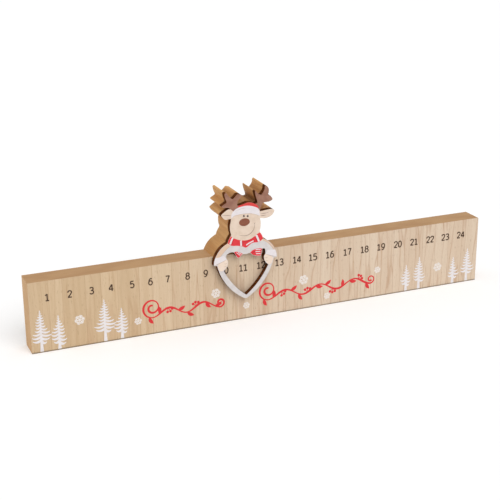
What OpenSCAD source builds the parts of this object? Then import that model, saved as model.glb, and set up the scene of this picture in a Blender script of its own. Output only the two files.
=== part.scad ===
// Wooden advent calendar: a veneered bar with the days along it, and a reindeer slider that
// rides on its top edge and frames the day in a heart.
// Frame: millimetres, +X along the bar, -Y out of its printed face, +Z up.
// The origin is the middle of the bar's underside.

/* [Bar] */
// Length of the bar
bar_l = 400; // [386:2:600]
// Height of the bar
bar_h = 58; // [50:1:90]
// Thickness of the bar, with its veneer
bar_t = 20; // [12:0.5:30]
// Thickness of the veneer on the printed face
veneer_t = 0.6; // [0.4:0.1:1.5]
// Number of veneer leaves laid edge to edge along the bar
leaf_count = 28; // [12:1:40]
// How far a joint between two leaves strays from even spacing
leaf_wander = 2; // [0:0.5:3]

/* [Days] */
// Number of days along the bar
day_count = 24; // [12:1:24]
// Distance from one day to the next
day_pitch = 16; // [10:0.5:16]
// Day that the slider stands on
rest_day = 11; // [1:1:12]
// How far the slider stands to the right of that day's middle
rest_shift = 0; // [-3:0.1:3]

/* [Slider] */
// Thickness of the sheet that the front plate and the rear keeper are cut from
plate_t = 4.5; // [2:0.1:6]
// Running gap between the bar and the slider, at the front and at the back
slide_gap = 0.7; // [0.2:0.05:1]
// Width of the rear keeper
keeper_w = 36; // [24:1:40]
// How far the keeper hangs below the bar's top edge
keeper_drop = 22; // [10:1:40]
// How far the keeper stands above the bar's top edge
keeper_rise = 12; // [8:1:14]
// Corner radius at the keeper's foot
keeper_corner_r = 4; // [1:0.5:8]

/* [Head] */
// Width of the head
head_w = 26.6; // [24:0.2:30]
// Height of the head
head_h = 26; // [24:0.2:28]
// Middle of the head above the bar's top edge
head_rise = 25; // [23.4:0.2:27]
// Top of the hat above the middle of the head
hat_rise = 18.3; // [16.5:0.1:22]
// Reach of the left ear from the middle of the head
ear_reach_left = 20.6; // [18:0.2:24]
// Reach of the right ear from the middle of the head
ear_reach_right = 25.2; // [21:0.2:28]
// Height of an ear
ear_h = 7.8; // [6:0.2:8.6]
// Left ear's tip above the middle of the head
ear_rise_left = 10; // [9:0.2:11]
// Right ear's tip above the middle of the head
ear_rise_right = 8.4; // [7:0.2:9.6]

/* [Antlers] */
// Outward reach of an antler from its root
antler_reach = 11.4; // [9:0.2:14]
// Height of an antler above its root
antler_rise = 16; // [12:0.2:20]
// Antler roots above the middle of the head
antler_root_rise = 14.3; // [13.5:0.1:15.5]
// Left antler's root from the middle of the head
antler_root_left = 9; // [8:0.5:11]
// Right antler's root from the middle of the head
antler_root_right = 12.2; // [11:0.2:14]

/* [Arms and heart] */
// Width of the scarf where it meets the shoulders
scarf_w = 30.8; // [29:0.2:34]
// Height of the scarf at its ends
scarf_h = 5.8; // [5:0.2:7]
// Shoulders above the bar's top edge
shoulder_rise = 11.3; // [9:0.1:11.6]
// Width over both cuffs
arm_span = 55; // [54:0.5:64]
// Lower edge of the cuffs below the bar's top edge
cuff_drop = 6.5; // [6:0.5:10]
// Width of the heart at the cuffs
heart_w = 49.4; // [46:0.2:52]
// Tip of the heart below the bar's top edge
heart_drop = 37.8; // [34:0.2:46]
// Radius of the heart's curved sides
heart_side_r = 49; // [44:1:70]
// Radius of the heart's tip
heart_tip_r = 3.5; // [2:0.5:6]
// Width of the heart's band below the hands
heart_band = 3.5; // [2.5:0.1:5]
// Height of the band at the heart's tip
tip_band = 2.8; // [2:0.1:4]
// Radius of the window's curved sides
window_side_r = 64; // [54:1:80]
// How far the window lies to the right of the heart's middle
window_shift = 0.4; // [-1:0.1:1]
// Top of the heart's window above the bar's top edge
lobe_rise = 3.4; // [1:0.2:4]
// Point between the lobes below the top of the window
lobe_dip = 3.2; // [2:0.1:4]
// Half width of the window between the hands
hand_gap = 15.7; // [14.4:0.1:16.5]
// How far a hand reaches below the cuff
hand_drop = 5; // [4:0.2:7]
// How far the scarf ends hang below the bar's top edge
tail_drop = 2.8; // [2:0.1:5]
// Width of a hanging scarf end
tail_w = 10.2; // [8:0.2:12]

/* [Hidden] */
leaf_w = bar_l / leaf_count;
leaf_turn = 137;
slider_x = (rest_day - (day_count + 1) / 2) * day_pitch + rest_shift;
back_y = bar_t / 2 + slide_gap;
block_t = 2 * back_y;
arc_steps = 14;
LEAVES = [for (i = [1:leaf_count]) str("veneer_leaf_", i < 10 ? "0" : "", i)];

// Points of a circular arc about c, from angle a0 to a1.
function arc(c, r, a0, a1, n = arc_steps) =
    [for (i = [0:n]) let (a = a0 + (a1 - a0) * i / n) c + r * [cos(a), sin(a)]];

// One point, at share t, between b and c of a smooth curve that also passes a and d.
function between(a, b, c, d, t) =
    (2 * b + (c - a) * t + (2 * a - 5 * b + 4 * c - d) * t ^ 2 + (3 * b - a - 3 * c + d) * t ^ 3) / 2;

// A smooth open curve through the points p, in n steps from each to the next.
function curve(p, n = 5) =
    let (last = len(p) - 1)
    concat([for (i = [0:last - 1], k = [0:n - 1])
        between(p[max(i - 1, 0)], p[i], p[i + 1], p[min(i + 2, last)], k / n)], [p[last]]);

// The points p, each a share of size, from the point c.
function placed(p, c, size) = [for (s = p) [c[0] + s[0] * size[0], c[1] + s[1] * size[1]]];

// The points p in the other order.
function reversed(p) = [for (i = [len(p) - 1:-1:0]) p[i]];

// The points p turned left to right, in the other order.
function mirrored(p) = [for (q = reversed(p)) [-q[0], q[1]]];

// Where a circle about a and a circle about b meet, right of the way from a to b.
function circles_meet(a, ra, b, rb) =
    let (d = norm(b - a), way = (b - a) / d, along = (ra ^ 2 - rb ^ 2 + d ^ 2) / (2 * d))
    a + along * way + sqrt(ra ^ 2 - along ^ 2) * [way[1], -way[0]];

// Direction from a to b.
function bearing(a, b) = atan2(b[1] - a[1], b[0] - a[0]);

// The reindeer's outline is measured from the slider's middle at the bar's top edge.

// Hat between the antlers: shares of the head's width and the hat's rise.
hat = curve(placed([[-0.2, 0.89], [-0.05, 0.95], [0.08, 1], [0.21, 0.97], [0.32, 0.89]],
    [0, head_rise], [head_w, hat_rise]));

// Antlers: shares of the reach and the rise, from the root, starting beside the hat.
antler_size = [antler_reach, antler_rise];
antler_z = head_rise + antler_root_rise;
left_antler = curve(placed([[0.18, 0.17], [0.24, 0.38], [0.41, 0.53], [0.53, 0.62], [0.48, 0.69],
    [0.35, 0.72], [0.19, 0.73], [0.01, 0.6], [-0.18, 0.52], [-0.42, 0.67], [-0.6, 0.85], [-0.75, 0.81],
    [-0.7, 0.59], [-0.6, 0.39], [-0.8, 0.29], [-0.97, 0.21], [-0.85, 0.13], [-0.5, 0.1]],
    [-antler_root_left, antler_z], antler_size));
right_antler = curve(placed([[-0.14, 0.16], [-0.17, 0.3], [-0.25, 0.47], [-0.32, 0.69], [-0.29, 0.79],
    [-0.12, 0.66], [0.09, 0.56], [0.2, 0.59], [0.38, 0.78], [0.42, 0.95], [0.51, 1], [0.64, 0.92],
    [0.72, 0.8], [0.71, 0.64], [0.67, 0.5], [0.8, 0.47], [0.93, 0.37], [1, 0.26], [0.9, 0.19],
    [0.71, 0.15], [0.28, 0.12], [0.1, -0.1]],
    [antler_root_right, antler_z], antler_size));

// Ears: shares of the length beyond the head and the ear's height, from the tip, top edge first.
left_ear = curve(placed([[1.12, 0.56], [0.79, 0.56], [0.43, 0.37], [0.1, 0.15], [0, 0], [0.2, -0.28],
    [0.49, -0.49], [0.85, -0.47], [1.14, -0.46]],
    [-ear_reach_left, head_rise + ear_rise_left], [ear_reach_left - head_w / 2, ear_h]));
right_ear = curve(placed([[-1.07, 0.14], [-0.59, 0.21], [-0.15, 0.23], [0, 0], [-0.16, -0.39],
    [-0.43, -0.6], [-0.76, -0.65], [-1.02, -0.57]],
    [ear_reach_right, head_rise + ear_rise_right], [ear_reach_right - head_w / 2, ear_h]));

// Cheek below an ear, down to the scarf: shares of the head's size, from its middle.
cheek = curve(placed([[0.477, 0.13], [0.496, 0.05], [0.5, -0.03], [0.496, -0.11], [0.485, -0.18],
    [0.462, -0.25]],
    [0, head_rise], [head_w, head_h]));

// Scarf's end: shares of its width and height, from the shoulder.
scarf_end = curve(placed([[0.41, 1], [0.46, 0.6], [0.493, 0.2], [0.5, 0]],
    [0, shoulder_rise], [scarf_w, scarf_h]));

// Arm from the shoulder to the bar's top edge, and on to the cuff's outer corner.
arm = curve(concat(
    placed([[0.285, 0.99], [0.363, 0.76], [0.428, 0.44], [0.476, 0.03]], [0, 0], [arm_span, shoulder_rise]),
    placed([[0.495, -0.43], [0.5, -0.91]], [0, 0], [arm_span, cuff_drop])));

// Heart: its side is an arc from the cuff to the arc of the tip.
heart_root = [heart_w / 2, -cuff_drop];
tip_c = [0, heart_tip_r - heart_drop];
side_c = circles_meet(heart_root, heart_side_r, tip_c, heart_side_r - heart_tip_r);
tip_angle = bearing(side_c, tip_c);
heart_side = arc(side_c, heart_side_r, bearing(side_c, heart_root), tip_angle);
heart_tip = arc(tip_c, heart_tip_r, tip_angle, -180 - tip_angle);

outline = concat(hat, right_antler, right_ear, cheek, scarf_end, arm, heart_side, heart_tip,
    mirrored(heart_side), mirrored(arm), mirrored(scarf_end), mirrored(cheek), reversed(left_ear),
    reversed(left_antler));

// Heart's window: its sides run from the tip to the hands, and the hands and the scarf ends reach
// into it. It is measured from its own middle.
inner_r = heart_side_r - heart_band;
hand_z = -cuff_drop - hand_drop;
window_root = let (a = asin((hand_z - side_c[1]) / inner_r)) side_c + inner_r * [cos(a), sin(a)];
window_tip = [0, tip_band - heart_drop];
window_c = circles_meet(window_root, window_side_r, window_tip, window_side_r);
window_side = arc(window_c, window_side_r, bearing(window_c, window_tip), bearing(window_c, window_root));
hand = curve(placed([[1.13, -0.7], [1.02, -0.14], [1, 0.54], [1.06, 0.84]],
    [0, -cuff_drop], [hand_gap, hand_drop]));
right_lobe = curve(placed([[1.08, -0.44], [1.06, 0.62], [0.96, 0.85], [0.9, 0.78]],
    [0, 0], [hand_gap, lobe_rise]));
left_lobe = curve(placed([[-0.75, 1], [-0.89, 0.95], [-1.07, 0.51], [-1.1, -0.15]],
    [0, 0], [hand_gap, lobe_rise]));
right_tail = curve(placed([[1, 0.14], [0.95, -0.89], [0.86, -1.07], [0.53, -0.95], [0.23, -0.46],
    [0.01, 0.29]],
    [0.87 * hand_gap - tail_w, 0], [tail_w, tail_drop]));
left_tail = curve(placed([[-0.04, 0.21], [-0.28, -0.54], [-0.41, -0.84], [-0.55, -0.43], [-0.77, 1.07]],
    [-tail_w / 4, 0], [tail_w, tail_drop]));

window = concat(window_side, hand, right_lobe, right_tail, [[0, lobe_rise - lobe_dip]], left_tail,
    left_lobe, mirrored(hand), mirrored(window_side));

// Distance of the joint before leaf i from the bar's left end, the first leaf being 0.
function leaf_edge(i) =
    i == 0 ? 0 : i == leaf_count ? bar_l : i * leaf_w + leaf_wander * sin(leaf_turn * i);

module bar_core() {
    color("#b9906a")
        translate([-bar_l / 2, -bar_t / 2 + veneer_t, 0])
            cube([bar_l, bar_t - veneer_t, bar_h]);
}

module veneer_leaf(i) {
    color("#d3b794")
        translate([-bar_l / 2 + leaf_edge(i), -bar_t / 2, 0])
            cube([leaf_edge(i + 1) - leaf_edge(i), veneer_t, bar_h]);
}

// A flat piece of the slider, standing upright, with its rear face at y.
module upright(y, thickness) {
    translate([slider_x, y, bar_h])
        rotate([90, 0, 0])
            linear_extrude(thickness)
                children();
}

// The thick body above the bar's top edge.
module slider_block() {
    color("#b5834f")
        upright(back_y, block_t)
            intersection() {
                polygon(outline);
                translate([-arm_span, 0])
                    square([2 * arm_span, antler_z + 2 * antler_rise]);
            }
}

module slider_front_plate() {
    color("#ead9c6")
        upright(-back_y, plate_t)
            difference() {
                polygon(outline);
                translate([window_shift, 0])
                    polygon(window);
            }
}

// The tab glued to the block's back, which hangs down behind the bar.
module slider_rear_keeper() {
    arch_r = keeper_w / 2;
    arch_z = keeper_rise - arch_r;
    foot_x = arch_r - keeper_corner_r;
    foot_z = keeper_corner_r - keeper_drop;
    color("#c79d6f")
        upright(back_y + plate_t, plate_t) {
            translate([0, arch_z])
                circle(arch_r, $fn = 96);
            translate([-arch_r, foot_z])
                square([keeper_w, arch_z - foot_z]);
            translate([-foot_x, -keeper_drop])
                square([2 * foot_x, keeper_corner_r]);
            for (side = [-1, 1])
                translate([side * foot_x, foot_z])
                    circle(keeper_corner_r, $fn = 48);
        }
}

bar_core();
for (i = [0:leaf_count - 1])
    veneer_leaf(i);
slider_block();
slider_front_plate();
slider_rear_keeper();
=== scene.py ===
"""Wooden advent calendar: the finish of its wood, and what is printed on the bar and the slider."""

import bpy
import numpy as np
from mathutils import Matrix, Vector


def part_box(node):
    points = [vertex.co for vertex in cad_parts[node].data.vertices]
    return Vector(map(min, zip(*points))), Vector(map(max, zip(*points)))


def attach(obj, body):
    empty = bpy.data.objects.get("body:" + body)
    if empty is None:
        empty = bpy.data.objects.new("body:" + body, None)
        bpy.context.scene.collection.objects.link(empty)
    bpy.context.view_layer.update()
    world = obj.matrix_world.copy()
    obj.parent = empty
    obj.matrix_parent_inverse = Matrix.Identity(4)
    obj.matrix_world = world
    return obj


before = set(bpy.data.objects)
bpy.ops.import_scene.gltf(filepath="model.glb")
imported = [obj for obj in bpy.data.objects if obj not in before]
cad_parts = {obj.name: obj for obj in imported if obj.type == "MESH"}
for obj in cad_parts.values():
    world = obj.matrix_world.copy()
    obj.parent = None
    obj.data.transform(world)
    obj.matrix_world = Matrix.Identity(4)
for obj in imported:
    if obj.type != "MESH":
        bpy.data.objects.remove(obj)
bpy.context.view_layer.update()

# Sizes, in millimetres, taken from the frame
MM = 0.001


def node_box(node):
    """Lowest and highest corner of a node, in millimetres."""
    low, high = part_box(node)
    return np.array(low) / MM, np.array(high) / MM


core_low, core_high = node_box("bar_core")
block_low, block_high = node_box("slider_block")
plate_low, plate_high = node_box("slider_front_plate")
keeper_low, keeper_high = node_box("slider_rear_keeper")
leaf_boxes = {name: node_box(name) for name in sorted(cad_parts) if name.startswith("veneer_leaf_")}

bar_l, _, bar_h = core_high - core_low
bar_top = core_high[2]
face_y = leaf_boxes["veneer_leaf_01"][0][1]
plate_y = plate_low[1]
slider_x = (keeper_low[0] + keeper_high[0]) / 2

# The prints are drawn for a bar and a plate of this width and height, and stretched to the real ones
drawn_bar = (400, 58)
drawn_plate = (55, 93.1)
bar_stretch = np.array([bar_l, bar_h]) / drawn_bar
plate_stretch = (plate_high - plate_low)[[0, 2]] / drawn_plate

coat = 0.03  # thickness of one coat of ink
let_in = 0.02  # how far a print is let into the wood under it
strokes_in_coat = 20  # strokes of one print that share a coat where they cross
face_skin = 0.05  # depth under a face that still counts as the face


# Curves and thin solids


def through(points, steps=8):
    """A smooth curve through the points: between two of them it is the cubic whose slope at each
    is half the way from the point before to the point after, and past the ends the points go
    straight on."""
    p = np.asarray(points, float)
    row = np.concatenate([2 * p[:1] - p[1:2], p, 2 * p[-1:] - p[-2:-1]])
    a, b, c, d = (row[k:len(row) - 3 + k, None] for k in range(4))
    t = np.linspace(0, 1, steps, endpoint=False).reshape((1, steps) + (1,) * (p.ndim - 1))
    curve = (2 * b + (c - a) * t + (2 * a - 5 * b + 4 * c - d) * t**2 + (3 * b - a - 3 * c + d) * t**3) / 2
    return np.concatenate([curve.reshape((-1,) + p.shape[1:]), p[-1:]])


def evenly(path, count):
    """The same path as count points, equally far apart along it."""
    path = np.asarray(path, float)
    run = np.concatenate([[0], np.cumsum(np.hypot(*np.diff(path, axis=0).T))])
    at = np.linspace(0, run[-1], count)
    return np.stack([np.interp(at, run, path[:, k]) for k in (0, 1)], -1)


def loft(*rails, along=40, across=4):
    """A patch between edge curves: points equally spaced along each rail, joined across by a
    smooth curve from the first rail to the last."""
    rows = np.stack([evenly(through(rail), along) for rail in rails])
    return through(rows, across).transpose(1, 0, 2)


def disc(centre, radii, count=17):
    """A round patch: a square grid in p and q from -1 to 1, each pushed in by half the square of
    the other, so that the square's edge becomes the ellipse."""
    p, q = np.meshgrid(np.linspace(-1, 1, count), np.linspace(-1, 1, count), indexing="ij")
    unit = np.stack([p * np.sqrt(1 - q**2 / 2), q * np.sqrt(1 - p**2 / 2)], -1)
    return np.asarray(centre) + unit * np.asarray(radii)


def ring(u, v, half_w, half_h, count=32):
    """A closed ellipse as a row of points."""
    turn = np.linspace(0, 2 * np.pi, count, endpoint=False)
    return np.stack([u + half_w * np.cos(turn), v + half_h * np.sin(turn)], -1)


def ribbon(path, width, closed=False):
    """A stroke of that width: the path moved half the width to each side along its normal."""
    path = np.asarray(path, float)
    if closed:
        slope = np.roll(path, -1, 0) - np.roll(path, 1, 0)
    else:
        slope = np.gradient(path, axis=0)
    slope /= np.hypot(slope[:, :1], slope[:, 1:])
    normal = np.stack([-slope[:, 1], slope[:, 0]], -1)
    half = np.broadcast_to(np.asarray(width, float) / 2, len(path))[:, None]
    side = np.linspace(-1, 1, 3)[None, :, None]
    return path[:, None] + side * (half * normal)[:, None]


def tapered(path, width, ends=0.25):
    """A stroke that thins towards both ends, to that share of its width, along half a sine wave."""
    path = np.asarray(path, float)
    swell = np.sin(np.linspace(0, np.pi, len(path)))
    return ribbon(path, width * (ends + (1 - ends) * swell))


def film(grid, coats=1, closed=False):
    """A thin solid over a grid of (x, z) points, that many coats high: the grid once in front and
    once behind, joined round its rim; in a closed one the last row also joins the first. Returns
    points (x, depth, z), with the depth growing towards the front, and faces."""
    step, over = grid[1:, :-1] - grid[:-1, :-1], grid[:-1, 1:] - grid[:-1, :-1]
    if np.sum(step[..., 0] * over[..., 1] - step[..., 1] * over[..., 0]) < 0:
        grid = grid[:, ::-1]
    rows, columns = grid.shape[:2]
    flat = grid.reshape(-1, 2)
    count = len(flat)
    depths = (coats * coat, -let_in)
    layers = [np.stack([flat[:, 0], np.full(count, depth), flat[:, 1]], -1) for depth in depths]
    index = np.arange(count).reshape(rows, columns)
    if closed:
        index = np.concatenate([index, index[:1]])
    front = np.stack([index[:-1, :-1], index[1:, :-1], index[1:, 1:], index[:-1, 1:]], -1).reshape(-1, 4)
    if closed:
        edges = [(index[:-1, 0], index[1:, 0]), (index[1:, -1], index[:-1, -1])]
    else:
        loop = np.concatenate([index[:, 0], index[-1, 1:], index[-2::-1, -1], index[0, -2:0:-1]])
        edges = [(loop, np.roll(loop, -1))]
    rim = [np.stack([b, a, a + count, b + count], -1) for a, b in edges]
    return np.concatenate(layers), np.concatenate([front, front[:, ::-1] + count] + rim)


def stacked(grids, coats):
    """Films of one print, each a small part of a coat above the one before, so that no two that
    cross lie in one plane."""
    return [film(grid, coats + number / strokes_in_coat) for number, grid in enumerate(grids)]


def printed(name, films, surface_y, body, slot, finish, origin, stretch):
    """One printed piece made of films, lying on the surface at that y and moving with that body."""
    starts = np.cumsum([0] + [len(points) for points, _ in films])
    points = np.concatenate([points for points, _ in films])
    faces = np.concatenate([faces + start for (_, faces), start in zip(films, starts)])
    x = origin[0] + points[:, 0] * stretch[0]
    z = origin[1] + points[:, 2] * stretch[1]
    mesh = bpy.data.meshes.new(name)
    mesh.from_pydata(np.stack([x, surface_y - points[:, 1], z], -1) * MM, [], faces)
    mesh.materials.append(finish)
    piece = bpy.data.objects.new(name, mesh)
    bpy.context.scene.collection.objects.link(piece)
    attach(piece, body)


# Finishes

relief_strength = 0.6
wood_sheen = 0.25  # specular level of wood and ink


class Wire:
    """One output of a shader node. Sums, products and comparisons with it add Math nodes."""

    # Places of a Mix node's colour sockets, whose names its number sockets share
    COLOUR_A = 6
    COLOUR_B = 7
    COLOUR_OUT = 2

    def __init__(self, tree, socket=None):
        self.tree = tree
        self.socket = socket

    def node(self, kind, settings=None, inputs=None, output=0):
        """Any node: its settings first, then a number, colour or wire for each input."""
        made = self.tree.nodes.new(kind)
        for key, value in (settings or {}).items():
            setattr(made, key, value)
        for key, value in (inputs or {}).items():
            if isinstance(value, Wire):
                self.tree.links.new(value.socket, made.inputs[key])
            else:
                made.inputs[key].default_value = value
        return Wire(self.tree, made.outputs[output])

    def math(self, operation, a, b):
        """A Math node on two wires or numbers."""
        return self.node("ShaderNodeMath", {"operation": operation}, {0: a, 1: b})

    def __add__(self, other):
        return self.math("ADD", self, other)

    __radd__ = __add__

    def __sub__(self, other):
        return self.math("SUBTRACT", self, other)

    def __rsub__(self, other):
        return self.math("SUBTRACT", other, self)

    def __mul__(self, other):
        return self.math("MULTIPLY", self, other)

    __rmul__ = __mul__

    def __gt__(self, other):
        return self.math("GREATER_THAN", self, other)

    def __lt__(self, other):
        return self.math("LESS_THAN", self, other)

    def away(self, middle):
        """Distance from a middle value."""
        return self.math("ABSOLUTE", self - middle, 0)

    def capped(self, low, high):
        """The value, held between low and high."""
        return self.node("ShaderNodeClamp", None, {"Value": self, "Min": low, "Max": high})

    def ease(self, low, high):
        """0 below low, 1 above high, and a smooth step between."""
        settings = {"interpolation_type": "SMOOTHSTEP"}
        return self.node("ShaderNodeMapRange", settings, {"Value": self, "From Min": low, "From Max": high})

    def noise(self, x, y, z, detail=2.0):
        """Soft noise, about 0.5 on average, at the point (x, y, z)."""
        place = self.node("ShaderNodeCombineXYZ", None, {"X": x, "Y": y, "Z": z})
        return self.node("ShaderNodeTexNoise", None, {"Vector": place, "Scale": 1.0, "Detail": detail})

    def blend(self, a, b, share):
        """Colour a at share 0 and colour b at share 1."""
        settings = {"data_type": "RGBA", "clamp_factor": True}
        inputs = {"Factor": share, self.COLOUR_A: a, self.COLOUR_B: b}
        return self.node("ShaderNodeMix", settings, inputs, self.COLOUR_OUT)


def shade(code):
    """A colour written as on screen, six hexadecimal digits, as linear light by the screen's
    standard curve: a straight foot and then a power of 2.4."""
    screen = np.array([int(code[k:k + 2], 16) for k in (0, 2, 4)]) / 255
    linear = np.where(screen <= 0.04045, screen / 12.92, ((screen + 0.055) / 1.055) ** 2.4)
    return (*linear.tolist(), 1.0)


def between(code, other, share):
    """A colour part of the way from one written colour to another."""
    mixed = np.array(shade(code)) * (1 - share) + np.array(shade(other)) * share
    return tuple(mixed.tolist())


def new_finish(name):
    """A material with its shader, a wire to build on, and the place on the piece in millimetres."""
    material = bpy.data.materials.new(name)
    material.use_nodes = True
    tree = material.node_tree
    shader = tree.nodes["Principled BSDF"]
    base = Wire(tree)
    metres = base.node("ShaderNodeTexCoord", None, None, "Object")
    place = base.node("ShaderNodeVectorMath", {"operation": "SCALE"}, {0: metres, "Scale": 1 / MM})
    axes = base.node("ShaderNodeSeparateXYZ", None, {0: place})
    split = [Wire(tree, axes.socket.node.outputs[k]) for k in range(3)]
    return material, shader, base, split


def lay_on(shader, base, colour, rough, height, depth, sheen=wood_sheen):
    """Feeds a finish's colour, roughness and relief, and sets its specular level; depth is the
    relief's height in millimetres."""
    inputs = {"Strength": relief_strength, "Distance": depth * MM, "Height": height}
    relief = base.node("ShaderNodeBump", None, inputs)
    for key, wire in (("Base Color", colour), ("Roughness", rough), ("Normal", relief)):
        base.tree.links.new(wire.socket, shader.inputs[key])
    shader.inputs["Specular IOR Level"].default_value = sheen


def smudge(u, v, middle, reach):
    """A soft round patch of painted shade, 1 in the middle and 0 beyond its reach sideways and upwards."""
    across = (u - middle[0]) * (1 / reach[0])
    up = (v - middle[1]) * (1 / reach[1])
    return 1 - (across * across + up * up).ease(0.1, 1)


grain_run = 61.7  # how far the noise moves on along the bar, so that no two leaves look alike
rosy_span = (0.16, 0.56)  # shares of the bar between which the veneer turns from yellow to rosy


def veneer(name, low, high, tone, share):
    """One veneer leaf: broad streaks, growth lines where slow noise crosses its middle value, fine fibres,
    short dark pores and a few scars, all upright, a thin dark line at its joints, and painted shadow along
    its foot where the bar stands on the floor. tone runs from 0, pale, to 1, dark, and share from the bar's
    first leaf to its last; the leaves of the last part are paler and rosier."""
    material, shader, base, (x, _, z) = new_finish(name)
    rosy = float(np.interp(share, rosy_span, [0, 1]))
    shift = grain_run * (low[0] - core_low[0]) / bar_l
    sway = base.noise(x * 0.03 + shift, 0, z * 0.03) * 5
    across = x + sway
    streak = base.noise(across * 0.24 + shift, 0, z * 0.006, detail=3)
    growth = base.noise(across * 0.11 - shift, 0, z * 0.007, detail=1)
    line = 1 - growth.away(0.5).ease(0.0, 0.03)
    fibre = base.noise(across * 1.7 + shift, 0, z * 0.04, detail=4)
    pore = base.noise(across * 1.5 - shift, 0, z * 0.22, detail=1).ease(0.62, 0.76)
    scar = base.noise(across * 0.5 - shift, 0, z * 0.03 + shift, detail=1).ease(0.66 - 0.02 * rosy, 0.76)
    joint = 1 - (high[0] - x + sway * 0.1).ease(0.1, 0.8)
    # Painted contact shadow: the lowest millimetre and a half darkens where the bar stands on the floor
    foot = 1 - z.ease(0.4, 1.5)
    pale = between("D6BD9C", "DCC9B3", rosy)
    dark = between("C2A581", "CAAF95", rosy)
    streaked = streak.ease(0.27, 0.73) * (0.44 - 0.2 * rosy)
    colour = base.blend(pale, dark, streaked + tone * (0.48 - 0.1 * rosy))
    colour = base.blend(colour, shade("B99874"), fibre.ease(0.45, 0.78) * 0.28)
    colour = base.blend(colour, shade("AA7C58"), line * (0.2 + 0.16 * rosy))
    colour = base.blend(colour, shade("8C6A48"), pore * 0.42)
    colour = base.blend(colour, shade("A2704C"), scar * 0.36)
    colour = base.blend(colour, shade("9A6C4A"), joint * 0.6)
    # Painted contact shadow along the foot
    colour = base.blend(colour, shade("5A4E3C"), foot * 0.75)
    height = fibre * 0.6 - pore - joint
    lay_on(shader, base, colour, rough=fibre * 0.25 + 0.5, height=height, depth=0.04)
    return material


def bare_board():
    """The bar's fibreboard: pressed fibres as fine speckle, faint saw lines along the bar, the top face
    painted darker than the ends as shade, and a painted highlight along its arrises."""
    material, shader, base, (x, y, z) = new_finish("bare_board")
    speckle = base.noise(x * 1.5, y * 1.5, z * 1.5, detail=5)
    cloud = base.noise(x * 0.04, y * 0.1, z * 0.1, detail=2)
    saw = base.noise(x * 0.03, y * 1.1, z * 1.1, detail=2)
    # Painted shade: the top face is given darker colours than the ends, which stand in more light
    top = z.ease(bar_top - 0.3, bar_top - 0.05)
    # Painted highlight: the top face paler along its front and back arrises, where the edges catch the
    # light
    painted_arris_highlight = y.away(0).ease(core_high[1] - 0.9, core_high[1]) * top
    body = base.blend(shade("D4AC80"), shade("CEA577"), cloud.ease(0.3, 0.7))
    # Colours of the top face, painted darker as shade
    edge = base.blend(shade("B99268"), shade("B0885F"), cloud.ease(0.3, 0.7))
    colour = base.blend(body, edge, top)
    rough_cut = speckle.ease(0.5, 0.8) * 0.22 + saw.ease(0.5, 0.8) * 0.18
    colour = base.blend(colour, shade("9A7650"), rough_cut)
    # Painted highlight along the arrises
    colour = base.blend(colour, shade("D2B08A"), painted_arris_highlight * speckle.ease(0.35, 0.6) * 0.5)
    height = speckle * 0.5 + saw * 0.5
    lay_on(shader, base, colour, rough=speckle * 0.2 + 0.6, height=height, depth=0.05)
    return material


def scorched_board():
    """The slider block's cut side: broad streaks across its thickness left by the cut, scorched at the
    front, painted shade over the hat, at the right antler's foot and in the antlers' forks, darker near the
    bar, and bare board on the back."""
    material, shader, base, (x, y, z) = new_finish("scorched_board")
    streak = base.noise(x * 0.2, y * 0.015, z * 0.2, detail=2)
    stria = base.noise(x * 2.1, y * 0.06, z * 2.1, detail=2)
    speckle = base.noise(x * 1.4, y * 1.4, z * 1.4, detail=4)
    scorch = 1 - (y + stria * 1.5).ease(block_low[1] + 0.4, block_low[1] + 2.2)
    u, v = x - slider_x, z - bar_top
    # Painted shade in the block's hollows: the valley over the hat, the right antler's foot and the
    # antlers' forks
    painted_hat_shade = smudge(u, v, middle=(2, 41.5), reach=(10, 4.5))
    painted_antler_foot_shade = smudge(u, v, middle=(9.7, 42.5), reach=(3.2, 3.2))
    painted_right_fork_shade = smudge(u, v, middle=(14.5, 48.5), reach=(4.5, 4.5))
    painted_fork_shade = painted_right_fork_shade + smudge(u, v, middle=(-11, 48), reach=(4.5, 4))
    low = 1 - v.ease(6, 20)
    back = y.ease(block_high[1] - 0.1, block_high[1] - 0.04)
    side = base.blend(shade("DBAA6E"), shade("C99358"), streak.ease(0.36, 0.64))
    side = base.blend(side, shade("9E6C3A"), low * 0.35)
    side = base.blend(side, shade("8F5F31"), stria.ease(0.45, 0.75) * 0.3)
    # Painted shade in the forks, over the hat and at the antler's foot
    side = base.blend(side, shade("8A5F36"), painted_fork_shade * 0.45)
    side = base.blend(side, shade("6E4522"), painted_hat_shade * 0.5)
    side = base.blend(side, shade("5C3618"), painted_antler_foot_shade * 0.5)
    side = base.blend(side, shade("4A2812"), scorch * 0.75)
    rear = base.blend(shade("CBA67A"), shade("B58D60"), speckle.ease(0.35, 0.7))
    colour = base.blend(side, rear, back)
    height = stria + speckle * 0.3
    lay_on(shader, base, colour, rough=stria * 0.2 + 0.55, height=height, depth=0.06)
    return material


# Where the plate's ground coats meet, in millimetres from the slider's middle at the bar's top edge:
# brown begins above a line that falls from the left ear's top to the right one's
left_ear_top = 39.5
right_ear_top = 35.4
ear_line_slope = -0.88
ear_line_middle = 28.4  # height of the line at the slider's middle
scarf_foot = 9.5  # beige above it, white below


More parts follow.
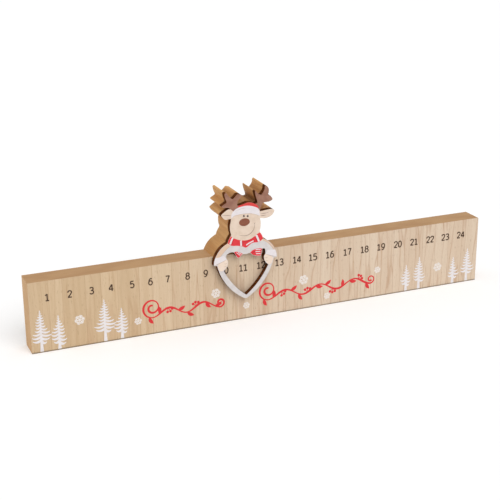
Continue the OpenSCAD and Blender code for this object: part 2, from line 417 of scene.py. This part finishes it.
def printed_sheet():
    """The front plate: its cut edge scorched dark brown and quite matt, and in front the ground
    coats of the print under a thin varnish: brown antlers, beige head and ears, white sleeves and
    heart."""
    material, shader, base, (x, y, z) = new_finish("printed_sheet")
    u = (x - slider_x) * (1 / plate_stretch[0])
    v = (z - bar_top) * (1 / plate_stretch[1])
    stria = base.noise(x * 1.8, y * 0.08, z * 1.8, detail=3)
    wash = base.noise(x * 0.2, 0, z * 0.2, detail=3)
    fibre = base.noise(x * 0.14, 0, z * 2.2, detail=3)
    front = y < plate_y + face_skin
    antler = v > (u * ear_line_slope + ear_line_middle).capped(right_ear_top, left_ear_top)
    head = v > scarf_foot
    edge = base.blend(shade("4A2813"), shade("7E4A27"), stria.ease(0.35, 0.75))
    white = base.blend(shade("D8D2D0"), shade("CEC7C6"), wash.ease(0.35, 0.7))
    beige = base.blend(shade("E4D0BE"), shade("DAC4B0"), wash.ease(0.35, 0.7))
    brown = base.blend(shade("A17866"), shade("906655"), wash.ease(0.35, 0.7))
    ground = base.blend(base.blend(white, beige, head), brown, antler)
    ground = base.blend(ground, shade("8E7565"), fibre.ease(0.55, 0.85) * 0.2)
    colour = base.blend(edge, ground, front)
    height = fibre * front * 0.4 + stria * (1 - front)
    lay_on(shader, base, colour, rough=fibre * 0.2 + 0.45, height=height, depth=0.05, sheen=0)
    varnish = front * 0.4
    base.tree.links.new(varnish.socket, shader.inputs["Coat Weight"])
    shader.inputs["Coat Roughness"].default_value = 0.5
    return material


def bare_sheet():
    """The rear keeper: plain thin board with a scorched rim."""
    material, shader, base, (x, y, z) = new_finish("bare_sheet")
    stria = base.noise(x * 1.8, y * 0.08, z * 1.8, detail=3)
    speckle = base.noise(x * 1.3, y * 1.3, z * 1.3, detail=5)
    cloud = base.noise(x * 0.12, y * 0.12, z * 0.12, detail=2)
    rear = y > keeper_high[1] - face_skin
    edge = base.blend(shade("3A1D0E"), shade("74462A"), stria.ease(0.35, 0.75))
    board = base.blend(shade("CFAC82"), shade("BD966B"), cloud.ease(0.3, 0.7))
    board = base.blend(board, shade("94704A"), speckle.ease(0.5, 0.8) * 0.4)
    colour = base.blend(edge, board, rear)
    height = speckle * 0.5 + stria * 0.5
    lay_on(shader, base, colour, rough=speckle * 0.2 + 0.55, height=height, depth=0.05)
    return material


def ink(name, main, worn, wear, upright=True):
    """A coat of ink on wood: a soft wash between two tones, the grain showing through as fine
    lines, upright or lying, and flecks where the coat is thin; wear says how much of both shows."""
    material, shader, base, (x, _, z) = new_finish(name)
    across, along = (x, z) if upright else (z, x)
    wash = base.noise(x * 0.3, 0, z * 0.3, detail=3)
    fibre = base.noise(across * 2.2, 0, along * 0.1, detail=3)
    fleck = base.noise(across * 2.0, 0, along * 0.7, detail=2).ease(0.6, 0.75)
    faded = wash.ease(0.3, 0.75) * 0.5 + fibre.ease(0.5, 0.8) * wear
    colour = base.blend(shade(main), shade(worn), faded)
    colour = base.blend(colour, shade("C9AA86"), fleck * wear * 0.6)
    lay_on(shader, base, colour, rough=fibre * 0.2 + 0.45, height=fibre, depth=0.03)
    return material


# The reindeer's print, in millimetres from the slider's middle at the bar's top edge


def figure_ink(name, main, worn, wear=0.12):
    """Ink on the slider's plate, whose grain lies along the bar."""
    return ink(name, main, worn, wear, upright=False)


on_slider = {
    "surface_y": plate_y,
    "body": "slider",
    "origin": (slider_x, bar_top),
    "stretch": plate_stretch,
}
skin_ink = figure_ink("beige_ink", "EDD9C8", "E2CAB6")
arm_ink = figure_ink("arm_ink", "DFC1A9", "D5B69D")
shadow_ink = figure_ink("tan_ink", "E1CCBC", "D7C0AD")
line_ink = figure_ink("line_ink", "A08B7C", "8A7363", wear=0.15)
faint_ink = figure_ink("faint_ink", "CDB7A6", "BDA592", wear=0.15)
eye_ink = figure_ink("eye_ink", "4A3B34", "5E4A40", wear=0.2)
nose_ink = figure_ink("nose_ink", "8A5440", "74422F", wear=0.15)
white_ink = figure_ink("white_ink", "E6DFE1", "DBD3D5")
crown_ink = figure_ink("crown_ink", "DA4644", "CB3C3B")
red_ink = figure_ink("red_ink", "DF3A42", "CF323A")
deep_red_ink = figure_ink("deep_red_ink", "B4232B", "9C1B24", wear=0.15)


def mirrored(points):
    """The same points on the other side of the slider's middle."""
    return [(-u, v) for u, v in points]


def print_hat():
    """Red crown between the antlers, and the white brim over it across the forehead."""
    crown_top = [(-5.6, 41.5), (-1.5, 42.3), (2, 43.1), (5.4, 42.6), (8.4, 41.3), (10.4, 39.9), (11.5, 38)]
    crown_foot = [(-6.9, 40.1), (-3.4, 40.2), (0.8, 40.3), (5, 39.6), (8.6, 38.2), (10.8, 36.8)]
    brim_top = [(-11.9, 34.9), (-10.4, 37.2), (-7.4, 39.4), (-3.4, 40.4), (0.8, 40.7), (5, 40),
        (8.8, 38.6), (11.4, 36.9), (12.3, 34.8)]
    brim_middle = [(-12, 33.1), (-9.6, 35.4), (-5, 37), (0.4, 37.2), (5.4, 36.4), (9.4, 34.8), (12.4, 32.9)]
    brim_foot = [(-11.9, 31.5), (-9.6, 33.3), (-5, 34.1), (0, 34.1), (5, 33.6), (9, 32.4), (12.4, 30.8)]
    brim_fold = [(-8.5, 37.5), (-4, 38.6), (0.5, 38.8)]
    crown = film(loft(crown_foot, crown_top))
    printed("hat_crown", [crown], finish=crown_ink, slot="print_red", **on_slider)
    brim = film(loft(brim_foot, brim_middle, brim_top), coats=2)
    printed("hat_brim", [brim], finish=white_ink, slot="print_white", **on_slider)
    lines = [tapered(through(brim_foot), width=0.3), tapered(through(brim_fold), width=0.25)]
    printed("hat_lines", stacked(lines, coats=3), finish=faint_ink, slot="print_dark", **on_slider)


def print_face():
    """Eyes, nose, mouth line and the hollows of the ears."""
    eye_middles = ((-1.2, 32.5), (2.1, 32))
    glint_middles = ((-0.95, 32.8), (2.35, 32.3))
    eyes = [film(disc(middle, radii=(0.85, 0.9)), coats=4) for middle in eye_middles]
    printed("eyes", eyes, finish=eye_ink, slot="print_dark", **on_slider)
    glints = [film(disc(middle, radii=(0.25, 0.28), count=9), coats=5) for middle in glint_middles]
    printed("eye_glints", glints, finish=white_ink, slot="print_white", **on_slider)
    nose = film(disc((-0.8, 27.2), radii=(4.6, 3.2), count=25), coats=2)
    printed("nose", [nose], finish=nose_ink, slot="print_dark", **on_slider)
    smile = through([(-5.4, 16.8), (-2, 16), (1.6, 15.9), (4.6, 17.3), (6.8, 19.6), (7.8, 22.2), (8, 25)])
    corner = through([(7, 25.5), (7.9, 25.2), (8.7, 25.6)])
    ear_lines = (
        [(-19.3, 35.2), (-16, 34.8), (-12.2, 34.2)],
        [(13, 32.8), (16.5, 32.4), (20.6, 32.9)],
        [(13.2, 31), (15.5, 30.6), (18.2, 30.9)],
    )
    lines = [tapered(smile, width=0.5), tapered(corner, width=0.4)]
    lines += [tapered(through(line), width=0.4) for line in ear_lines]
    printed("face_lines", stacked(lines, coats=2), finish=line_ink, slot="print_dark", **on_slider)
    left_hollow = loft(
        [(-19.8, 35), (-17, 33.2), (-12.4, 32.6)],
        [(-19.8, 35), (-16.6, 35.5), (-12.4, 34.9)],
    )
    right_hollow = loft(
        [(13, 30.6), (18, 30), (23.2, 32.8)],
        [(13, 33.4), (18, 33.6), (23.2, 32.8)],
    )
    hollows = [film(left_hollow), film(right_hollow)]
    printed("ear_hollows", hollows, finish=shadow_ink, slot="print_skin", **on_slider)


def print_scarf():
    """Red scarf with white bars and darker folds, and its two ends hanging into the window."""
    top = [(-12.6, 16.9), (-9.9, 14.8), (-5, 12.7), (0, 11.8), (4, 12.3), (8, 14.2),
        (10.2, 15.8), (12.6, 16.9)]
    middle = [(-14.5, 13.9), (-11, 12.2), (-5, 10.3), (0.3, 8.9), (5, 10.5), (9, 11.5),
        (11.6, 12.8), (14.5, 13.9)]
    foot = [(-15.3, 11.2), (-12, 8.9), (-7.5, 8.2), (-3.2, 7.2), (0.6, 5.7), (5.6, 8.8),
        (10.4, 8.8), (13, 9.6), (15.3, 11.2)]
    left_end = loft(
        [(-10, 3.3), (-7.7, -0.8), (-6.3, -2.1), (-4.9, -1.2), (-2.7, 0.8)],
        [(-10, 3.4), (-8, 3.4), (-5.8, 2.6), (-4.2, 1.8), (-2.7, 0.9)],
    )
    right_end = loft(
        [(4.1, 1), (6.2, -1.1), (9.3, -2.4), (12.4, -2.8), (13.3, -2.3), (13.8, 0.4), (14.3, 2.6)],
        [(4.1, 1.1), (6.2, 2.6), (8.6, 3.3), (11, 3.5), (13, 3.4), (14.3, 2.8)],
    )
    red = [film(loft(top, middle, foot)), film(left_end), film(right_end)]
    printed("scarf", red, finish=red_ink, slot="print_red", **on_slider)
    # Each bar's line and its width
    bars = (
        ([(-11, 15.5), (-12.2, 13.1), (-13.3, 10.2)], 1.5),
        ([(-4, 12.3), (-3.9, 10.1), (-3.8, 7.6)], 1.5),
        ([(0.5, 7.7), (3.4, 9.2), (7, 10.5)], 1.0),
        ([(9.4, 15), (10.6, 12.2), (11.7, 9.3)], 1.6),
        ([(-7.9, 2.5), (-6.3, 1.1), (-4.7, -0.3)], 0.5),
        ([(-6.5, 2.6), (-5.1, 1.5), (-3.6, 0.5)], 0.45),
        ([(8.8, 2.6), (11.2, 2.7), (13.2, 2.4)], 0.7),
        ([(8.6, 0.9), (10.8, 0.9), (12.8, 0.7)], 0.7),
        ([(9, -0.8), (11, -1), (13, -1.2)], 0.7),
    )
    white = stacked([ribbon(through(path), width) for path, width in bars], coats=2)
    printed("scarf_bars", white, finish=white_ink, slot="print_white", **on_slider)
    folds = (
        [(-2.9, 11.6), (-2.7, 9.4), (-2.7, 7.4)],
        [(-2.2, 10.6), (1.8, 11), (5.2, 12), (8, 13.7)],
        [(8.1, 13.8), (9.4, 11.4), (10.4, 9.1)],
        [(-10.2, 14.4), (-11.3, 11.9), (-12, 9.4)],
        [(4.8, 0.4), (7, 1), (9, 1.5)],
        [(-9.2, 2.5), (-7.6, 0.5), (-6.5, -1.6)],
    )
    deep = stacked([tapered(through(path), width=0.45) for path in folds], coats=3)
    printed("scarf_folds", deep, finish=deep_red_ink, slot="print_red", **on_slider)


def print_arms():
    """Beige arms and hands, white cuffs, and the thin lines between them."""
    shoulder = [(-15.5, 11), (-19.8, 8.4), (-23.3, 4.9), (-25.9, 0.5)]
    left_arm = [shoulder, [(-13.2, 8.6), (-16.1, 6.8), (-19, 4), (-21.5, 1.4), (-23.6, 0.2)]]
    right_arm = [mirrored(shoulder), [(15.2, 9.9), (19.2, 7.4), (22.4, 4), (24, 1.8), (25, 0.3)]]
    cuff_edge = [(-26, 0.3), (-27, -2.7), (-27.3, -5.7)]
    left_cuff = [cuff_edge, [(-18.8, 1.2), (-17.5, -0.6), (-16.6, -2.2)]]
    right_cuff = [mirrored(cuff_edge), [(19.4, 1.2), (18.2, -0.6), (17.4, -2.2)]]
    knuckles = [(-22.6, -4.8), (-24.3, -6.6), (-23.5, -9), (-22.6, -10.9), (-20.7, -11.6)]
    left_hand = [knuckles, [(-16.4, -2.2), (-15.5, -3.8), (-15.8, -7), (-17.4, -9.4), (-19, -11)]]
    right_hand = [mirrored(knuckles), [(17.2, -2.2), (16.3, -3.8), (16.6, -7), (18.2, -9.4), (19.7, -11)]]
    arms = [film(loft(*rails)) for rails in (left_arm, right_arm)]
    printed("arms", arms, finish=arm_ink, slot="print_skin", **on_slider)
    hands = [film(loft(*rails)) for rails in (left_hand, right_hand)]
    printed("hands", hands, finish=skin_ink, slot="print_skin", **on_slider)
    cuffs = [film(loft(*rails), coats=2) for rails in (left_cuff, right_cuff)]
    printed("cuffs", cuffs, finish=white_ink, slot="print_white", **on_slider)
    lines = (
        left_arm[1],
        right_arm[1],
        [(-27, -5.6), (-22.2, -4.5), (-16.8, -2.3)],
        [(27, -5.6), (22.4, -4.5), (17.6, -2.3)],
        [(-15.9, -5.2), (-17.2, -5.6), (-18.6, -5.4)],
        [(-16.3, -7.6), (-17.6, -8.1), (-19, -7.9)],
        [(16.7, -5.2), (18, -5.6), (19.4, -5.4)],
        [(17.1, -7.6), (18.4, -8.1), (19.8, -7.9)],
    )
    strokes = stacked([tapered(through(line), width=0.35) for line in lines], coats=3)
    printed("arm_lines", strokes, finish=faint_ink, slot="print_dark", **on_slider)


# The bar's print, in millimetres along the bar from its middle and up from its underside

on_bar = {"surface_y": face_y, "body": "bar", "origin": (0, 0), "stretch": bar_stretch}
number_ink = ink("number_ink", "4A3628", "5A4638", wear=0.2)
snow_ink = ink("snow_ink", "E6E2E4", "DBD4D3", wear=0.25)
flake_ink = ink("flake_ink", "E9E2DD", "DFD5CC", wear=0.25)
garland_ink = ink("garland_ink", "D9353A", "CA2E34", wear=0.12)

day_pitch = 16
day_count = 24
day_z = 42.1  # foot of the numbers
digit_h = 5.3
digit_w = 3.1
digit_gap = 0.9
digit_stroke = 1.04

# Days whose number stands a little off the even spacing
day_nudge = {
    1: -1.6, 3: 1.2, 4: 0.8, 5: 1.8, 6: 0.9, 7: -0.8, 9: -0.6, 10: -0.9, 12: -0.3, 15: -1.3, 16: -1.5,
    17: -1.1, 18: -0.8, 19: -0.9, 20: -0.5, 21: -0.5, 22: -0.5, 23: -1.2, 24: -1.5,
}

# Strokes of each digit in a box one wide and one high; a stroke of four numbers is a closed ring, by
# its middle, half width and half height
six_stem = [(0.9, 0.95), (0.58, 1), (0.22, 0.8), (0.03, 0.34)]
digit_strokes = {
    "0": [[0.5, 0.5, 0.48, 0.5]],
    "1": [[(0.06, 0.78), (0.5, 1)], [(0.52, 1), (0.52, 0)], [(0.08, 0), (0.96, 0)]],
    "2": [[(0.02, 0.74), (0.16, 0.93), (0.5, 1), (0.88, 0.9), (0.92, 0.68), (0.62, 0.4), (0.06, 0.03)],
        [(0, 0), (0.98, 0)]],
    "3": [[(0.06, 0.9), (0.42, 1), (0.84, 0.92), (0.88, 0.68), (0.64, 0.54), (0.34, 0.53)],
        [(0.34, 0.53), (0.78, 0.49), (0.98, 0.26), (0.8, 0.05), (0.42, 0), (0.02, 0.1)]],
    "4": [[(0.68, 1), (-0.04, 0.3)], [(-0.06, 0.28), (1.06, 0.28)], [(0.74, 1), (0.74, 0)]],
    "5": [[(0.92, 1), (0.12, 1)], [(0.15, 1), (0.1, 0.54)],
        [(0.1, 0.54), (0.46, 0.64), (0.86, 0.54), (0.98, 0.3), (0.8, 0.06), (0.42, 0), (0.02, 0.1)]],
    "6": [[0.5, 0.32, 0.47, 0.32], six_stem],
    "7": [[(0, 1), (1, 1)], [(0.97, 1), (0.62, 0.54), (0.42, 0)]],
    "8": [[0.5, 0.77, 0.4, 0.23], [0.5, 0.27, 0.48, 0.27]],
    "9": [[0.5, 0.68, 0.47, 0.32], [(1 - u, 1 - v) for u, v in six_stem]],
}


def print_digit(digit, x, z):
    """Films of one digit: each stroke a ribbon along its points, a third of a coat above the one
    before, so that no two that cross lie in one plane."""
    films = []
    for level, stroke in enumerate(digit_strokes[digit]):
        closed = not isinstance(stroke[0], tuple)
        unit = ring(*stroke) if closed else through(stroke)
        path = np.array([x, z]) + unit * [digit_w, digit_h]
        films.append(film(ribbon(path, digit_stroke, closed), coats=1 + level / 3, closed=closed))
    return films


def print_days():
    """The numbers along the bar, each centred on its day."""
    films = []
    for day in range(1, day_count + 1):
        digits = str(day)
        width = len(digits) * digit_w + (len(digits) - 1) * digit_gap
        left = (day - (day_count + 1) / 2) * day_pitch + day_nudge.get(day, 0) - width / 2
        for place, digit in enumerate(digits):
            films += print_digit(digit, left + place * (digit_w + digit_gap), day_z)
    printed("day_numbers", films, finish=number_ink, slot="print_dark", **on_bar)


# The firs
print_end = 199.6  # how far from the bar's middle a bough reaches at most
tier_h = 2.3
stagger = 0.25  # part of a tier that each side is moved, one up and one down
tier_growth = 1.35  # power by which the tiers grow towards the foot
bough_growth = 1.15  # power by which the boughs grow longer
widest = 0.83  # share of the height with the longest boughs
tuck = 2.2  # how fast they shorten below it
unevenness = 0.22
least_bough = 0.4
trunk_foot = 0.9
trunk_widths = [2.8, 1.9, 0.5]  # at its foot, at the lowest boughs and at the tip


def bough(root, reach, thick, dense):
    """One bough: from the trunk it droops and then turns up to its tip, a square curve in the share
    of its reach; its width swells to the middle like a sine and shrinks to the tip like a circle,
    and a dense one is wider at the trunk."""
    t = np.linspace(0, 1, 9)
    sag = thick * ((1 - t) ** 2 - 2.8 * t * (1 - t) + 0.6 * t**2)
    path = np.asarray(root) + np.stack([reach * t, sag], -1)
    width = 0.8 + 0.5 * np.sin(np.pi * t) + dense * (1 - t) ** 2
    return ribbon(path, thick * width * np.sqrt(1 - t**2) + 0.15)


def fir(x, top, reach, foot):
    """A fir tree: a trunk that widens from the tip to the ground, and boughs to both sides, those on
    the right half a step below those on the left. The steps grow towards the foot, and the boughs
    reach out with a power of their distance from the tip, down to a widest one, below which they
    grow shorter; a sine of tier, side and place makes them uneven. A bough is a third as thick as
    the gap above it, and those of the lower half are denser."""
    height = top - foot
    tiers = int(round(height / tier_h))
    boughs = []
    for side in (-1, 1):
        steps = (np.arange(tiers + 1) + stagger * side) / (tiers + stagger)
        shares = steps.clip(0, 1) ** tier_growth
        for tier in range(1, tiers + 1):
            share = shares[tier]
            spread = min((share / widest) ** bough_growth, 1) - tuck * max(share - widest, 0)
            ragged = 1 + unevenness * np.sin(5.3 * tier + 2.1 * side + x)
            length = min(reach * spread * ragged + least_bough, print_end - side * x)
            gap = height * (share - shares[tier - 1])
            thick = min(0.25 + 0.34 * gap, 0.4 * length)
            root = (x, top - share * height)
            dense = 1.6 * max(share - 0.45, 0)
            boughs.append(bough(root, side * length, thick, dense))
    trunk = ribbon([(x, trunk_foot), (x, foot), (x, top)], trunk_widths)
    return stacked(boughs + [trunk], coats=1)


# A snowflake's twigs, strokes and hub, in shares of its radius
flake_turn = 11  # of its first arm, in degrees
flake_twigs = ((0.46, 0.46), (0.74, 0.32))  # where a pair starts and how long it is
flake_stroke = 0.18
flake_hub = 0.2


def snowflake(x, z, radius):
    """A flake: six arms from a hub, each with two pairs of twigs at 60 degrees to it. The inner twigs
    of neighbouring arms meet and leave six small gaps round the hub."""
    middle = np.array([x, z])
    strokes = []
    for turn in np.radians(np.arange(0, 360, 60) + flake_turn):
        ahead = np.array([np.cos(turn), np.sin(turn)])
        strokes.append([middle, middle + radius * ahead])
        for start, reach in flake_twigs:
            for lean in np.radians((-60, 60)):
                way = np.array([np.cos(turn + lean), np.sin(turn + lean)])
                root = middle + start * radius * ahead
                strokes.append([root, root + reach * radius * way])
    arms = [ribbon(stroke, flake_stroke * radius) for stroke in strokes]
    hub = disc(middle, radii=(flake_hub * radius, flake_hub * radius), count=9)
    return stacked(arms + [hub], coats=1)


def print_snow():
    """White firs at both ends of the bar, and snowflakes between them."""
    # Place along the bar, height of the tip, longest bough, height of the lowest boughs
    firs = (
        (-192.2, 35, 7.3, 8),
        (-178.2, 28.8, 6.8, 5),
        (-141.5, 36, 8, 9),
        (-127.8, 26.6, 6.4, 6),
        (128.8, 24.5, 5.4, 6),
        (141.6, 30, 6.4, 8),
        (176.2, 25, 5.3, 6),
        (190.4, 31, 6.6, 8.5),
    )
    # Place along the bar, height of the middle, radius
    flakes = (
        (-161.5, 22.2, 4.1),
        (-114.5, 13.2, 3.1),
        (-48.2, 26.3, 4.1),
        (-21.5, 11.5, 3),
        (30.3, 26, 4.3),
        (52.3, 8.2, 3),
        (100.2, 24.4, 3),
        (160.3, 18.1, 4.1),
    )
    trees = [part for tree in firs for part in fir(*tree)]
    printed("snow_firs", trees, finish=snow_ink, slot="print_white", **on_bar)
    stars = [part for flake in flakes for part in snowflake(*flake)]
    printed("snowflakes", stars, finish=flake_ink, slot="print_white", **on_bar)


# A garland's vine, with its first spiral, the curl, and its last, the tendril
curl_turns = 3.1  # half turns
curl_start = 0.22  # share of the curl's radius at which it begins
tendril_turns = 2.3  # half turns
tendril_size = 0.45  # beside the curl
tendril_close = 0.7  # share of its radius that it loses
vine_points = 60  # along the curl, and along each wave
wave_steps = 40  # points by which a wave is worked out
vine_w = 1.45
vine_swell = 0.4
swell_turn = 0.16  # of the swelling's sine from one point to the next

# Its leaves and berries, with their turns away from the vine in radians
first_leaf = 64  # points of the vine before the first one
leaf_step = 12  # points from one to the next
bare_end = 22  # points after the last one
leaf_l = 6.6
leaf_w = 3.0
leaf_turn = 0.8
leaf_bend = 0.4  # turn of the rib from root to tip
berry_r = 1.15
stalk_l = 3.6
stalk_w = 0.5
berry_turns = (0.5, 1.2, 1.9)  # of the three in a bunch


def vine(centre, curl, reach, swing, waves):
    """The middle line of a garland: a spiral whose radius grows with its angle and which leaves its
    lowest point heading right, a wave of that many crests, and a small spiral closing upwards."""
    t = np.linspace(0, 1, vine_points)
    angle = -np.pi / 2 - curl_turns * np.pi * (1 - t)
    radius = curl * (curl_start + (1 - curl_start) * t)
    spiral = np.asarray(centre) + np.stack([radius * np.cos(angle), radius * np.sin(angle)], -1)
    s = np.linspace(0, 1, wave_steps * waves)[1:, None]
    wave = spiral[-1] + np.hstack([reach * s, swing * (1 - np.cos(2 * np.pi * waves * s)) / 2])
    angle = -np.pi / 2 + tendril_turns * np.pi * t[1:]
    radius = tendril_size * curl * (1 - tendril_close * t[1:])
    middle = wave[-1] + [0, tendril_size * curl]
    tendril = middle + np.stack([radius * np.cos(angle), radius * np.sin(angle)], -1)
    return evenly(np.concatenate([spiral, wave, tendril]), vine_points * (1 + waves))


def garland_leaf(root, aim):
    """A pointed leaf: its width follows a sine over its length, along a slightly bent rib."""
    t = np.linspace(0, 1, 12)
    bend = aim + leaf_bend * (t - 0.5)
    rib = np.asarray(root) + np.stack([np.cos(bend), np.sin(bend)], -1) * (t * leaf_l)[:, None]
    return ribbon(rib, leaf_w * np.sin(np.pi * np.clip(t, 0.03, 0.97)) ** 0.8)


def berry_on_stalk(root, aim):
    """A round berry and the straight stalk that it stands on."""
    berry = root + stalk_l * np.array([np.cos(aim), np.sin(aim)])
    return [ribbon([root, berry], stalk_w), disc(berry, radii=(berry_r, berry_r), count=9)]


def print_garland():
    """Two red garlands: a curled vine each, its stroke swelling along its run, with leaves to both
    sides and berries in threes."""
    vines = [
        vine(centre=(-102.5, 22.4), curl=8.4, reach=58, swing=6.5, waves=2),
        vine(centre=(-2.2, 21.6), curl=8.4, reach=96, swing=6.5, waves=3),
    ]
    stems, leaves, berries = [], [], []
    for path in vines:
        count = len(path)
        width = vine_w + vine_swell * np.sin(np.linspace(0, swell_turn * count, count))
        stems.append(film(ribbon(path, width)))
        heading = np.arctan2(*np.gradient(path, axis=0).T[::-1])
        for number, at in enumerate(range(first_leaf, count - bare_end, leaf_step)):
            side = 1 if number % 2 else -1
            if number % 3 == 2:
                for turn in berry_turns:
                    berries += berry_on_stalk(path[at], heading[at] + side * turn)
            else:
                leaf = garland_leaf(path[at], heading[at] + side * leaf_turn)
                leaves.append(film(leaf, coats=1.4))
    printed("garland_vine", stems, finish=garland_ink, slot="print_red", **on_bar)
    printed("garland_leaves", leaves, finish=garland_ink, slot="print_red", **on_bar)
    bunches = stacked(berries, coats=1.5)
    printed("garland_berries", bunches, finish=garland_ink, slot="print_red", **on_bar)


print_hat()
print_face()
print_scarf()
print_arms()
print_days()
print_snow()
print_garland()


# Wood on the pieces

first_tone = 0.7  # of the first veneer leaf
tone_step = 0.618  # to the next leaf, by the golden section, so that neighbours differ


def finish_node(node, material):
    """Puts one finish on a whole node."""
    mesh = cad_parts[node].data
    mesh.materials.clear()
    mesh.materials.append(material)


last_leaf = len(leaf_boxes) - 1
for number, (name, (low, high)) in enumerate(leaf_boxes.items()):
    tone = (first_tone + number * tone_step) % 1
    finish_node(name, veneer(name, low, high, tone, number / last_leaf))
finish_node("bar_core", bare_board())
finish_node("slider_block", scorched_board())
finish_node("slider_front_plate", printed_sheet())
finish_node("slider_rear_keeper", bare_sheet())


# Studio

ambient = 0.64  # strength of the light all round
floor_tone = 0.88
floor_glow = 0.175  # makes the floor white to the eye
floor_half = 12  # half its side, in metres

# The photograph's camera, from its fit to the bar's corners and edges: its place in millimetres, its
# angles in degrees, and its sensor and lens in millimetres
camera_place = np.array([-359.378, -822.526, 367.775])
camera_azimuth = -22.7902
camera_elevation = 19.3013
camera_roll = -0.3777
sensor_w = 36
lens_l = 83.0621


def shown(base):
    """1 for a ray that comes to the eye, straight, off a gloss or through glass, and 0 for any other."""
    straight = base.node("ShaderNodeLightPath", None, None, "Is Camera Ray")
    rays = straight.socket.node.outputs
    return straight + Wire(base.tree, rays["Is Glossy Ray"]) + Wire(base.tree, rays["Is Transmission Ray"])


def studio_floor():
    """A wide white floor that shows white to the eye and still takes the bar's shadow."""
    corners = floor_half * np.array([(-1, -1, 0), (1, -1, 0), (1, 1, 0), (-1, 1, 0)])
    mesh = bpy.data.meshes.new("floor")
    mesh.from_pydata(corners.tolist(), [], [(0, 1, 2, 3)])
    floor = bpy.data.objects.new("floor", mesh)
    bpy.context.scene.collection.objects.link(floor)
    material = bpy.data.materials.new("floor_white")
    material.use_nodes = True
    tree = material.node_tree
    tree.nodes.remove(tree.nodes["Principled BSDF"])
    base = Wire(tree)
    matt = base.node("ShaderNodeBsdfDiffuse", None, {"Color": (floor_tone, floor_tone, floor_tone, 1)})
    glow = base.node("ShaderNodeEmission", None, {"Strength": shown(base) * floor_glow})
    both = base.node("ShaderNodeAddShader", None, {0: matt, 1: glow})
    tree.links.new(both.socket, tree.nodes["Material Output"].inputs["Surface"])
    mesh.materials.append(material)


def looking(place, back, roll=0.0):
    """The matrix of something at place whose rear points along back, rolled by some degrees."""
    right = np.cross([0, 0, 1], back)
    right /= np.linalg.norm(right)
    up = np.cross(back, right)
    c, s = np.cos(np.radians(roll)), np.sin(np.radians(roll))
    columns = np.stack([c * right + s * up, c * up - s * right, back, place], 1)
    return Matrix(np.vstack([columns, [0, 0, 0, 1]]).tolist())


def facing(azimuth, elevation):
    """Unit vector towards a viewer; azimuth 0 is in front of the bar and 90 to its right."""
    turn, rise = np.radians([azimuth, elevation])
    return np.array([np.sin(turn) * np.cos(rise), -np.cos(turn) * np.cos(rise), np.sin(rise)])


def key_light(azimuth, elevation, distance, strength, softness):
    """A broad lamp that lights like the sun; its softness is the angle it fills, in degrees."""
    lamp = bpy.data.lights.new("key_light", "SUN")
    lamp.energy = strength
    lamp.angle = np.radians(softness)
    light = bpy.data.objects.new("key_light", lamp)
    bpy.context.scene.collection.objects.link(light)
    back = facing(azimuth, elevation)
    light.matrix_world = looking(back * distance, back)


def fill_light(azimuth, elevation, distance, size, power):
    """A square lamp aimed at the middle of the bar's underside."""
    lamp = bpy.data.lights.new("fill_light", "AREA")
    lamp.size = size
    lamp.energy = power
    light = bpy.data.objects.new("fill_light", lamp)
    light.visible_camera = False
    bpy.context.scene.collection.objects.link(light)
    back = facing(azimuth, elevation)
    light.matrix_world = looking(back * distance, back)


def studio_camera():
    """The camera at the photograph's place and angle."""
    eye = bpy.data.cameras.new("camera")
    eye.sensor_width = sensor_w
    eye.lens = lens_l
    eye.clip_start = 0.01
    eye.clip_end = 100
    camera = bpy.data.objects.new("camera", eye)
    bpy.context.scene.collection.objects.link(camera)
    back = facing(camera_azimuth, camera_elevation)
    camera.matrix_world = looking(camera_place * MM, back, camera_roll)
    bpy.context.scene.camera = camera


def studio_world():
    """White all round: soft light on the object, plain white behind it."""
    world = bpy.data.worlds.new("studio")
    world.use_nodes = True
    bpy.context.scene.world = world
    tree = world.node_tree
    base = Wire(tree)
    background = tree.nodes["Background"]
    background.inputs["Color"].default_value = (1, 1, 1, 1)
    tree.links.new((shown(base) * (1 - ambient) + ambient).socket, background.inputs["Strength"])


studio_floor()
studio_world()
key_light(azimuth=10, elevation=45, distance=3, strength=1.4, softness=45)
fill_light(azimuth=-105, elevation=12, distance=2.5, size=1.2, power=5)
studio_camera()
bpy.context.scene.view_settings.view_transform = "Standard"
